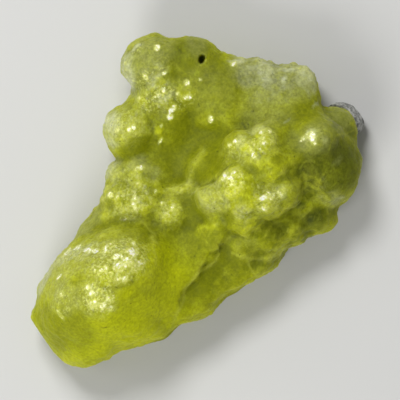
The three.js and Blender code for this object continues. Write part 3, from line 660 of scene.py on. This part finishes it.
CRACKS = [  # the strength is the depth
    (0.15, -20.3, -9.4, -19, -11, -17.2, -11.6, -15.4, -12), (0.2, 0.4, -13.4, 0.8, -14.6, 0.3, -15.6),
    (0.14, 2.2, 14.8, 2.9, 13.2, 3, 11.8, 2.5, 10.2, 1.6, 8.6), (0.2, 9.2, 12.2, 8.4, 11, 8.6, 9.8),
    (0.08, -11.9, -0.6, -9.5, -2.3, -8, -3.5, -5.8, -5.7, -4, -7.6),
    (0.2, 3.2, -3.4, 5.4, -4.4, 8, -4.2, 9.6, -3.4),
]
LEDGE_RISE = 0.12
LEDGE_WIDTH = 0.3
RIM_RISE = 0.06
RIM_WIDTH = 0.3
RIDGE_WIDTH = 0.7
RIDGE_HAZE = 2.2  # milkiness for each millimetre of rise
CRACK_WIDTH = 0.32
CRACK_SHADE = 2  # darkness for each millimetre of depth
LINE_WANDER = (1.4, 0.45, 80)  # size, reach and seed of what bends the lines
RIM_WANDER = (2.2, 0.15, 90)

# noise laid on the surface: rise, size, seed
SWELL = [(0.2, 4.6, 1)]
SWELL_DROP = 0.1
LUMPS = [(0.12, 2.1, 2), (0.05, 1, 3)]
RUBBLE = [(0.14, 1.3, 70), (0.1, 0.7, 71)]
WALL_LUMPS = [(1, 1.9, 75), (0.6, 0.9, 76)]
WALL_GRAINS = [(0.1, 0.6, 77)]
WALL_RISE = 0.14  # of the walls' lumps
RAGGED_RISE = 0.3  # what a ragged edge adds to that

CALM_BELOW = (12.5, 15)  # the smooth lower left: how far down it begins and is full
CALM_LEFT = (2, 6)  # the same to the left
CALM_LOSS = 0.75  # the share of the lumps lost there

MIDDLE = 0.5  # of a height or a random number from 0 to 1
LARGE_BUDS = (3.2, 10)  # size, seed
SMALL_BUDS = (1.7, 60)
LARGE_RISE = 0.42
SMALL_RISE = 0.3
FAINT_RISE = 0.1  # of the small buds where buds don't crowd
BUD_LEVEL = 0.55  # the share of a bud that lies under the surface
BUD_WANDER = 0.15  # in bud sizes
BUD_RADIUS = 0.72  # in bud sizes, for the smallest
BUD_GROWTH = 0.2  # what the largest adds to that
BUD_EDGE = (0.14, 0.02)
OLIVE_LOSS = 0.8  # the share of the buds lost on olive ground
WALL_BUDS = 0.7
SMALL_SEAM = 0.7  # edges of small buds, against 1 for large ones
# buds with a dark core of painted shade and lit ones of painted light: heights and random numbers over
# which that sets in
CHOSEN = {"core": ((0.4, 0.95), (0.55, 0.75)), "lit": ((0.3, 0.9), (0.45, 0.2))}

PLATES = (0.8, 20)  # size, seed
PLATE_RISE = 0.14
PLATE_LEAST = 0.25  # of the plates where nothing sparkles

SEAM_NEAR = (0.9, 0.3)  # distances from a lobe where a seam begins and is full
SEAM_WIDTH = 0.45


def drawn(p, lines, width):
    """How near each point is to the lines, from 0 to each line's own strength."""
    total = np.zeros(len(p))
    for strength, *line in lines:
        points = np.reshape(line, (-1, 2))
        best = np.full(len(p), np.inf)
        for start, along in zip(points, np.diff(points, axis=0)):
            rel = p[:, :2] - start
            t = np.clip(rel @ along / (along @ along), 0, 1)
            best = np.minimum(best, np.linalg.norm(rel - t[:, None] * along, axis=1))
        total = np.maximum(total, strength * np.exp(-((best / width) ** 2)))
    return total


def lobe_seams(p):
    """1 where two lobes meet at the surface, 0 away from there."""
    q = bent(p.T)
    nearest = np.full(len(p), FAR)
    second = np.full(len(p), FAR)
    for lobe in LOBES:
        d = ellipsoid(q, *lobe)
        second = np.where(d < nearest, nearest, np.minimum(second, d))
        nearest = np.minimum(nearest, d)
    return smooth(nearest, *SEAM_NEAR) * np.exp(-(((second - nearest) / SEAM_WIDTH) ** 2))


def buds(p, size, seed):
    """Round buds from 0 to 1, the edges between them, and each one's random number."""
    near, far, mark = cells(wandering(p, size, BUD_WANDER * size, seed + 5), size, seed)
    radius = BUD_RADIUS + BUD_GROWTH * mark
    return np.sqrt(np.clip(1 - (near / radius) ** 2, 0, 1)), smooth(far - near, *BUD_EDGE), mark


def relief(p, front, steep, flank):
    """How far each point stands out along its normal, and the marks that go with it."""
    marks = front_marks(p, front)
    olive = marks["olive"]
    calm = np.maximum(olive, smooth(-p[:, 1], *CALM_BELOW) * smooth(-p[:, 0], *CALM_LEFT))
    rough = 1 - CALM_LOSS * calm
    broken = zone(p, RUGGED)
    budded = np.maximum(zone(p, BUDDED) * (1 - OLIVE_LOSS * olive), WALL_BUDS * steep * (1 - broken))
    out = layers(p, SWELL) - SWELL_DROP + rough * layers(p, LUMPS)

    large, large_edge, _ = buds(p, *LARGE_BUDS)
    small, small_edge, small_mark = buds(p, *SMALL_BUDS)
    out += budded * (LARGE_RISE * (large - BUD_LEVEL) + SMALL_RISE * (small - BUD_LEVEL))
    out += FAINT_RISE * (1 - budded) * rough * (small - MIDDLE)
    out += broken * layers(p, RUBBLE)

    edge = WALL_RISE + RAGGED_RISE * zone(p, RAGGED_EDGE)
    out += flank * (edge * layers(p, WALL_LUMPS) + layers(p, WALL_GRAINS))

    _, _, plate = cells(p, *PLATES)
    out += PLATE_RISE * np.maximum(marks["sparkle"], PLATE_LEAST * rough) * (plate - MIDDLE)

    bent_lines = wandering(p, *LINE_WANDER)
    ledge = drawn(bent_lines, LEDGES, LEDGE_WIDTH)
    crack = drawn(bent_lines, CRACKS, CRACK_WIDTH)
    ridge = drawn(bent_lines, RIDGES, RIDGE_WIDTH)
    rim = drawn(wandering(p, *RIM_WANDER), RIMS, RIM_WIDTH)
    out += (LEDGE_RISE * ledge - crack + ridge + RIM_RISE * rim) * front

    marks["haze"] = np.maximum(marks["haze"], RIDGE_HAZE * ridge * front)
    # painted glow along the rims
    marks["rim"] = rim * front
    marks["line"] = ledge * front
    marks["crack"] = CRACK_SHADE * crack * front
    # painted glow along the buds' edges
    marks["seam"] = budded * np.maximum(large_edge, SMALL_SEAM * small_edge)
    # painted shade where lobes meet
    marks["valley"] = lobe_seams(p) * (1 - olive)
    marks["budded"] = budded
    for name, (heights, choice) in CHOSEN.items():
        marks[name] = budded * smooth(small, *heights) * smooth(small_mark, *choice)
    return out, marks


# ------------ the pieces

# ranges of the normal's upward part, from none to all
FRONT = (-0.5, 0)
FLANK = (0.75, 0.35)
STEEP = (0.3, -0.1)
CRUST_FOOT = (0, 1.2)  # heights over which the relief grows
NODULE_FOOT = (0, 0.8)
CONTACT_REACH = 0.4  # from the contact to the matrix's full relief
# ranges of how far a point stands out from its neighbours, for painted shade in hollows and painted light
# on crests
HOLLOW = (0, 0.03)
CREST = (0.004, 0.03)
EVENING_ROUNDS = 3
NODULE_LUMPS = [(0.18, 2.2, 31), (0.05, 0.5, 32)]
NODULE_GRAINS = (0.8, 30)  # size, seed
GRAIN_RISE = 0.16
GRAIN_DOME = 0.1


def mesh_object(name, verts, quads, marks):
    mesh = bpy.data.meshes.new(name)
    mesh.from_pydata(verts * MM, [], quads, shade_flat=False)
    mesh.validate()
    for mark, values in marks.items():
        layer = mesh.attributes.new(mark, "FLOAT", "POINT")
        layer.data.foreach_set("value", np.clip(values, 0, 1).astype(np.float32))
    piece = bpy.data.objects.new(name, mesh)
    bpy.context.scene.collection.objects.link(piece)
    return piece


def in_millimetres(box):
    return [np.array(corner) / MM for corner in box]


def meshed(field, box, cell):
    """Vertices, quads and normals of a field's surface in a CAD solid's box."""
    low, high = box
    margin = MARGIN_CELLS * cell
    start = [low[0] - margin, low[1] - margin, -MARGIN_BELOW * cell]
    verts, quads = surface(field, start, high + margin, cell)
    return verts, quads, vertex_normals(verts, quads)


def moved(verts, normals, out, box):
    """The points moved along their normals, but not out of the CAD solid's box."""
    return np.clip(verts + normals * out[:, None], *box)


def crust():
    box = in_millimetres(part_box("brucite_crust"))
    verts, quads, normals = meshed(crust_field, box, FINE_CELL)
    upward = normals[:, 2]
    out, marks = relief(verts, smooth(upward, *FRONT), smooth(upward, *STEEP), smooth(abs(upward), *FLANK))
    out *= smooth(verts[:, 2], *CRUST_FOOT)
    verts = moved(verts, normals, out, box)
    bulge = ((verts - neighbour_mean(verts, quads)) * normals).sum(axis=1, keepdims=True)
    for _ in range(EVENING_ROUNDS):
        bulge = neighbour_mean(bulge, quads)
    # painted shade in the hollows and painted light on the crests
    marks["hollow"] = smooth(-bulge[:, 0], *HOLLOW)
    marks["crest"] = smooth(bulge[:, 0], *CREST)
    piece = mesh_object("brucite", verts, quads, marks)
    piece.data.materials.append(brucite_material())
    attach(piece, "root")
    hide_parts("brucite_crust")


def nodule():
    box = in_millimetres(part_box("matrix_remnant"))
    verts, quads, normals = meshed(nodule_field, box, NODULE_CELL)
    near, _, grain = cells(verts, *NODULE_GRAINS)
    out = layers(verts, NODULE_LUMPS) + GRAIN_RISE * (grain - MIDDLE) + GRAIN_DOME * (MIDDLE - near)
    out *= smooth(past_contact(verts.T), JOIN_GAP, JOIN_GAP + CONTACT_REACH)
    out *= smooth(verts[:, 2], *NODULE_FOOT)
    verts = moved(verts, normals, out, box)
    piece = mesh_object("matrix", verts, quads, {"grain": grain})
    piece.data.materials.append(matrix_material())
    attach(piece, "root")
    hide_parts("matrix_remnant")


# ------------ materials

# noise: size, detail, roughness
BROAD = (6.0, 4, 0.55)
MOTTLE = (1.5, 5, 0.62)
FINE = (0.45, 4, 0.55)
CLOTS = (0.8, 5, 0.7)
SPECKS = (0.9, 2, 0.55)
TINY = (0.5, 3, 0.6)
SCATTER = (0.75, 5, 0.7)
GRAINS = (0.5, 5, 0.6)
ROCK = (0.8, 6, 0.65)
ROCK_GRAINS = (0.35, 5, 0.65)
FIBRE_DETAIL = 3
PATCHES, CHIPS, FLAKES, FACETS, ROCK_DOTS = 0.95, 0.45, 0.38, 0.5, 0.5  # sizes of cells
BRIGHT_SCATTER, WHITE_SCATTER = 2.4, 3  # how much scatter breaks them up

# colours as seen on screen, from 0 to 255
BODY = (142, 148, 14)
ROCK_DARK = (92, 92, 90)
# patterns over them: the range where they set in, the most that they cover, colour
BODY_LIGHT = ((0.35, 0.65), 1, (158, 164, 20))
# painted glow along the rims
BODY_MOTTLE = ((0.42, 0.66), 0.3, (180, 184, 50))
RIM = ((0.2, 0.8), 0.5, (168, 174, 50))
CRYSTAL_DEEP = ((0.5, 0.36), 0.45, (164, 170, 34))
CRYSTAL_LIGHT = ((0.5, 0.64), 0.45, (196, 200, 124))
NET = ((0.06, 0), 0.25, (196, 200, 96))
SPECK = ((0.29, 0.25), 0.5, (76, 80, 14))
# painted highlights: flecks in the druse
FLECK = ((0.58, 0.68), 0.7, (222, 226, 138))
# painted highlights: the glints' haloes, bright parts and white cores
HALO = ((0, 0.7), 0.45, (204, 208, 108))
BRIGHT = ((0.4, 0.85), 0.7, (232, 234, 164))
WHITEST = ((0.85, 1.25), 0.95, (254, 254, 236))
ROCK_LIGHT = ((0.38, 0.62), 1, (196, 196, 190))
ROCK_DOT = ((0.22, 0.1), 0.6, (52, 52, 50))
# marks: the most that they cover, their colour; olive and dark hold painted shade besides the crust's own
# colour
BROAD_TINTS = {
    "haze": (0.75, (178, 182, 90)),
    "gold": (0.85, (184, 190, 12)),
    "olive": (0.9, (128, 134, 6)),
    "dark": (0.9, (74, 82, 14)),
}
# whitish marks, partly painted sheen and highlights: the mottle's range, the least and most that it gives,
# colour
WHITISH_TINTS = {
    "pale": ((0.3, 0.6, 0.6, 1.0), (156, 160, 108)),
    "frost": ((0.34, 0.6, 0.45, 1.0), (192, 196, 154)),
}
# mostly painted light and shade: shade where lobes meet, in bud cores and in hollows; glow along bud edges;
# light on lit buds and crests; lighter along the ledges
SMALL_TINTS = {
    "valley": (0.5, (112, 120, 6)),
    "seam": (0.5, (180, 186, 50)),
    "core": (0.4, (112, 120, 6)),
    "lit": (0.45, (194, 198, 60)),
    "hollow": (0.2, (112, 118, 4)),
    "crest": (0.2, (190, 194, 84)),
    "line": (0.5, (184, 188, 70)),
}
# painted shade in the cracks, darker the deeper they are
CRACK_TINTS = {"crack": (0.8, (84, 90, 12))}
ROCK_TINTS = {"grain": (0.5, (140, 142, 134))}

SRGB_STEP = 0.04045  # below it the screen's curve is a straight line
IOR = 1.57  # of brucite
MILK_DEPTH = 9  # how far light spreads inside
MILK_COLOURS = (1, 0.95, 0.3)  # the shares of red, green and blue in that
MILK_FORWARD = 0.5
SPECULAR = 0.1
COAT_ROUGHNESS = 0.12
ROCK_ROUGHNESS = 0.75


def colour(shades):
    """A colour from 0 to 255 as seen on screen, made linear."""
    def linear(value):
        value /= 255
        return value / 12.92 if value <= SRGB_STEP else ((value + 0.055) / 1.055) ** 2.4
    return tuple(linear(value) for value in shades) + (1.0,)


HALVES = (0.5, 0.5, 0.5)


class Nodes:
    """A short way to write a material's nodes. Sizes are in millimetres."""

    def __init__(self, name):
        self.material = bpy.data.materials.new(name)
        self.material.use_nodes = True
        self.tree = self.material.node_tree
        self.bsdf = self.tree.nodes["Principled BSDF"]
        self.place = self.new("TexCoord", "Object", {})

    def link(self, value, socket):
        if isinstance(value, (int, float, tuple)):
            socket.default_value = value
        else:
            self.tree.links.new(value, socket)

    def new(self, kind, output, inputs, **settings):
        """The output of a new node with these inputs and settings."""
        node = self.tree.nodes.new("ShaderNode" + kind)
        for name, value in settings.items():
            setattr(node, name, value)
        for name, value in inputs.items():
            self.link(value, node.inputs[name])
        return node.outputs[output]

    def finish(self, inputs):
        """The material, once its shader has these inputs."""
        for name, value in inputs.items():
            self.link(value, self.bsdf.inputs[name])
        return self.material

    def mark(self, name):
        return self.new("Attribute", "Fac", {}, attribute_name=name)

    def at(self, size, place=None):
        return {"Vector": place or self.place, "Scale": 1 / (size * MM)}

    def noise(self, size, detail, roughness):
        return self.new("TexNoise", "Fac", {**self.at(size), "Detail": detail, "Roughness": roughness})

    def voronoi(self, size, feature="F1", output="Distance", place=None):
        return self.new("TexVoronoi", output, self.at(size, place), feature=feature)

    def warped(self, size, reach):
        """Places pushed about by soft noise."""
        shift = self.vector("SUBTRACT", self.new("TexNoise", "Color", self.at(size)), HALVES)
        return self.vector("ADD", self.place, self.vector("MULTIPLY", shift, (2 * reach * MM,) * 3))

    def fibres(self, place, along, across, turn):
        """Noise drawn out along one direction in plan."""
        scale = (along * MM, across * MM, across * MM)
        inputs = {"Vector": place, "Rotation": (0, 0, math.radians(turn)), "Scale": scale}
        drawn_out = self.new("Mapping", "Vector", inputs, vector_type="TEXTURE")
        return self.new("TexNoise", "Fac", {"Vector": drawn_out, "Scale": 1, "Detail": FIBRE_DETAIL})

    def facets(self, size):
        """The height of flat grains, each tilted its own way."""
        from_centre = self.vector("SUBTRACT", self.place, self.voronoi(size, output="Position"))
        tilt = self.vector("SUBTRACT", self.voronoi(size, output="Color"), HALVES)
        return self.times(self.vector("DOT_PRODUCT", from_centre, tilt), 1 / (size * MM))

    def math(self, operation, a, b):
        return self.new("Math", 0, {0: a, 1: b}, operation=operation)

    def times(self, a, b):
        return self.math("MULTIPLY", a, b)

    def plus(self, a, b):
        return self.math("ADD", a, b)

    def minus(self, a, b):
        return self.math("SUBTRACT", a, b)

    def larger(self, a, b):
        return self.math("MAXIMUM", a, b)

    def vector(self, operation, a, b):
        output = "Value" if operation == "DOT_PRODUCT" else "Vector"
        return self.new("VectorMath", output, {0: a, 1: b}, operation=operation)

    def step(self, value, low, high, to_low=0, to_high=1):
        """A smooth step from one value at low to another at high."""
        inputs = {"Value": value, "From Min": low, "From Max": high, "To Min": to_low, "To Max": to_high}
        return self.new("MapRange", "Result", inputs, interpolation_type="SMOOTHSTEP")

    def tinted(self, body, share, shades):
        """The body's colour with a share of another laid over it."""
        return self.new("Mix", 2, {0: share, 6: body, 7: colour(shades)}, data_type="RGBA")

    def laid(self, body, pattern, look, where=1):
        """The body's colour with a pattern laid over it."""
        (low, high), most, shades = look
        cover = self.times(self.step(pattern, low, high), where)
        return self.tinted(body, self.times(cover, most), shades)

    def marked(self, body, tints):
        for name, (most, shades) in tints.items():
            body = self.tinted(body, self.times(self.mark(name), most), shades)
        return body

    def bump(self, height, distance, strength, normal=None):
        inputs = {"Strength": strength, "Distance": distance * MM, "Height": height}
        if normal is not None:
            inputs["Normal"] = normal
        return self.new("Bump", "Normal", inputs)


def marked_body(n):
    """The crust's colour with its marks, painted light and shade among them, before anything fine."""
    mottle = n.noise(*MOTTLE)
    body = n.laid(colour(BODY), n.noise(*BROAD), BODY_LIGHT)
    body = n.marked(n.laid(body, mottle, BODY_MOTTLE), BROAD_TINTS)
    for name, (rise, shades) in WHITISH_TINTS.items():
        body = n.tinted(body, n.times(n.mark(name), n.step(mottle, *rise)), shades)
    return n.laid(n.marked(body, SMALL_TINTS), n.mark("rim"), RIM)


def with_crystals(n, body):
    """Small crystals in the milky parts, some deep and some light."""
    clear = n.minus(1, n.larger(n.mark("olive"), n.mark("dark")))
    milky = n.times(n.mark("haze"), clear)
    jostled = n.warped(0.8, 0.15)
    patches = n.voronoi(PATCHES, output="Color", place=jostled)
    chips = n.voronoi(CHIPS, output="Color", place=jostled)
    crystals = n.times(n.plus(patches, chips), MIDDLE)
    body = n.laid(body, crystals, CRYSTAL_DEEP, milky)
    return n.laid(body, crystals, CRYSTAL_LIGHT, milky)


def with_grain(n, body):
    """The fine unevenness of the whole crust, and a pale net over the milky parts."""
    fibre = n.minus(n.fibres(n.warped(2.4, 0.9), 2.6, 0.4, 50), MIDDLE)
    grain = n.minus(n.noise(*FINE), MIDDLE)
    clots = n.minus(n.noise(*CLOTS), MIDDLE)
    uneven = n.plus(n.plus(n.times(fibre, 0.5), n.times(grain, 1.45)), clots)
    lively = n.step(n.mark("olive"), 0, 1, 1, 0.8)
    net = n.voronoi(1.7, "DISTANCE_TO_EDGE", place=n.warped(1.4, 0.25))
    body = n.laid(body, net, NET, n.mark("haze"))
    lightness = n.plus(n.times(n.times(uneven, 0.7), lively), 1)
    return n.new("VectorMath", "Vector", {0: body, "Scale": lightness}, operation="SCALE")


def with_specks_and_painted_glints(n, body):
    """Dark specks and painted shade in the cracks, then painted highlights: flecks, and white flashes in
    their haloes.
    """
    body = n.marked(n.laid(body, n.noise(*SPECKS), SPECK), CRACK_TINTS)
    sparkle, glint = n.mark("sparkle"), n.mark("glint")
    body = n.laid(body, n.plus(n.noise(*TINY), n.times(sparkle, 0.1)), FLECK, sparkle)
    flakes = n.times(n.voronoi(FLAKES, output="Color"), 0.35)
    scatter = n.minus(n.plus(n.noise(*SCATTER), flakes), 0.675)
    halo = n.step(glint, *HALO[0])
    body = n.laid(body, glint, HALO)
    body = n.laid(body, n.plus(glint, n.times(scatter, BRIGHT_SCATTER)), BRIGHT, halo)
    return n.laid(body, n.plus(glint, n.times(scatter, WHITE_SCATTER)), WHITEST, halo)


def brucite_material():
    n = Nodes("brucite")
    body = with_specks_and_painted_glints(n, with_grain(n, with_crystals(n, marked_body(n))))
    glitter = n.larger(n.mark("sparkle"), n.mark("glint"))
    shine = n.larger(glitter, n.times(n.mark("budded"), 0.7))
    milky = n.larger(n.mark("haze"), n.larger(n.mark("pale"), n.mark("frost")))
    grainy = n.bump(n.noise(*GRAINS), 0.1, n.step(shine, 0, 1, 0.35, 0.6))
    faceted = n.bump(n.facets(FACETS), 0.4, n.step(glitter, 0, 1, 0.1, 0.9), grainy)
    return n.finish({
        "Base Color": body,
        "Roughness": n.step(shine, 0, 1, 0.6, 0.3),
        "IOR": IOR,
        "Specular IOR Level": SPECULAR,
        "Subsurface Weight": n.step(milky, 0, 1, 1, 0.75),
        "Subsurface Radius": MILK_COLOURS,
        "Subsurface Scale": MILK_DEPTH * MM,
        "Subsurface Anisotropy": MILK_FORWARD,
        "Coat Weight": n.times(glitter, 0.5),
        "Coat Roughness": COAT_ROUGHNESS,
        "Normal": faceted,
        "Coat Normal": faceted,
    })


def matrix_material():
    n = Nodes("matrix")
    rock = n.laid(colour(ROCK_DARK), n.noise(*ROCK), ROCK_LIGHT)
    rock = n.laid(n.marked(rock, ROCK_TINTS), n.voronoi(ROCK_DOTS), ROCK_DOT)
    uneven = n.bump(n.noise(*ROCK_GRAINS), 0.1, 0.7)
    return n.finish({"Base Color": rock, "Roughness": ROCK_ROUGHNESS, "Normal": uneven})


# ------------ the scene

bpy.context.scene.view_settings.view_transform = "Standard"
camera()
lights()
floor()
crust()
nodule()
